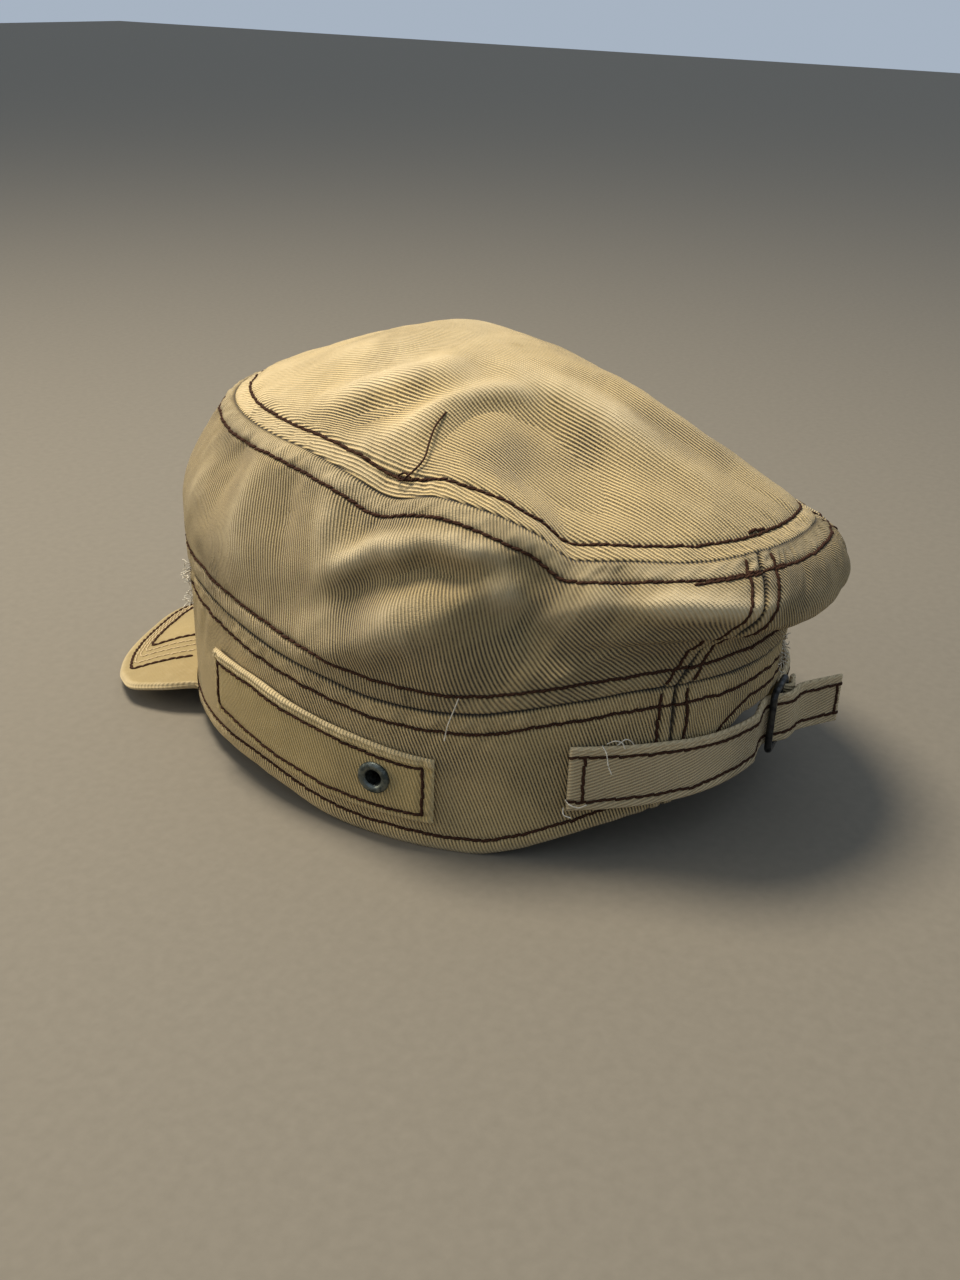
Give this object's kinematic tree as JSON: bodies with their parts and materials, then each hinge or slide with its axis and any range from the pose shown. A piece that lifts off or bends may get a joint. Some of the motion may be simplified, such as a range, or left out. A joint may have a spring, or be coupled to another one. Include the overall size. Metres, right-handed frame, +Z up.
{
  "type": "patrol cap",
  "caption": "Soft military-style cloth cap with an oval top, deep side band, short visor, side tabs with eyelets and a buckled rear strap over an arch.",
  "frame": {"origin": "bottom centre of the whole cap's box, on the surface that it lies on", "axes": "+Z up from the hem to the crown, -Y the way the visor points, +X the wearer's left"},
  "size_m": [0.1724, 0.2528, 0.1303],
  "materials": {
    "crown_cloth": "washed cotton twill, matt",
    "band_cloth": "washed cotton twill, matt",
    "visor_cloth": "washed cotton twill, matt",
    "tab_cloth": "washed cotton twill, matt",
    "strap_cloth": "washed cotton twill, matt",
    "eyelet_metal": "dark oxidised",
    "buckle_metal": "dark gunmetal"
  },
  "bodies": {
    "root": {"crown_top": "crown_cloth", "crown_side": "crown_cloth", "crown_back": "crown_cloth", "band_front": "band_cloth", "band_back": "band_cloth", "visor": "visor_cloth", "tab_left": "tab_cloth", "tab_right": "tab_cloth", "eyelet_left": "eyelet_metal", "eyelet_right": "eyelet_metal", "strap_left": "strap_cloth", "strap_right": "strap_cloth", "buckle": "buckle_metal"}
  },
  "joints": []
}
